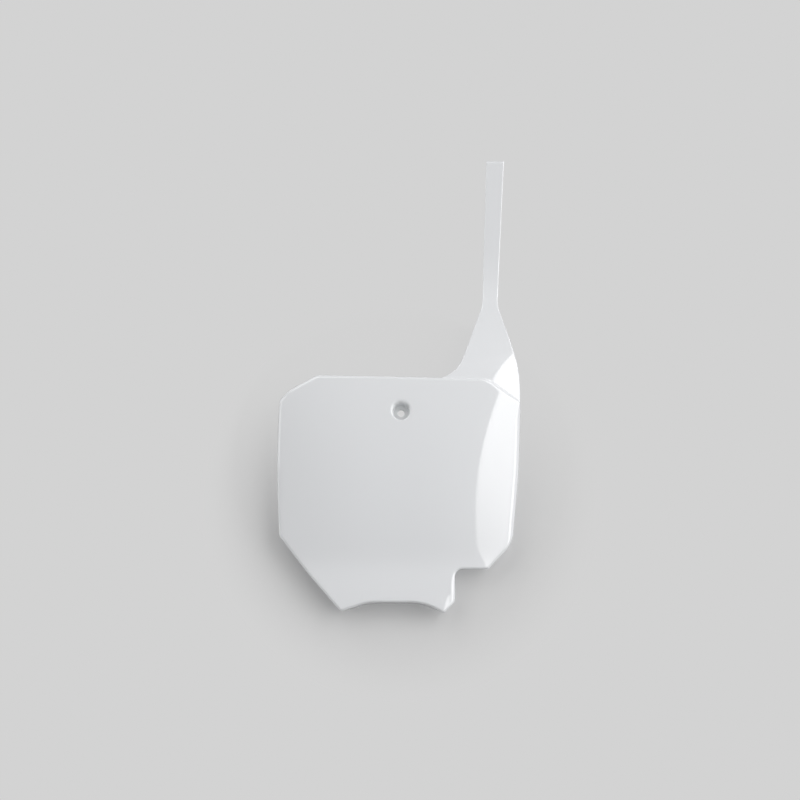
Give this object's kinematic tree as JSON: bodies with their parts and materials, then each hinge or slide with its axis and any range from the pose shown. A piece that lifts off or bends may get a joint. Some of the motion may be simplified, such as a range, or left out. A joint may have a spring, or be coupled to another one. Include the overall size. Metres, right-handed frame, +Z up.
{
  "type": "motocross number board",
  "caption": "Racing number board: a gently domed plastic plate with turned-in edges, a recessed bolt hole, an arched lower lip and one long handlebar strap rising from its upper right corner.",
  "frame": {"origin": "centre of the bolt hole, on the seat at the bottom of the bolt cup", "axes": "+Z up along the strap, the face looks towards -Y, +X to the right as seen from the front"},
  "size_m": [0.2441, 0.0715, 0.4535],
  "materials": {
    "number_board": "glossy white injection-moulded plastic"
  },
  "bodies": {
    "root": {"number_board": "number_board"}
  },
  "joints": []
}
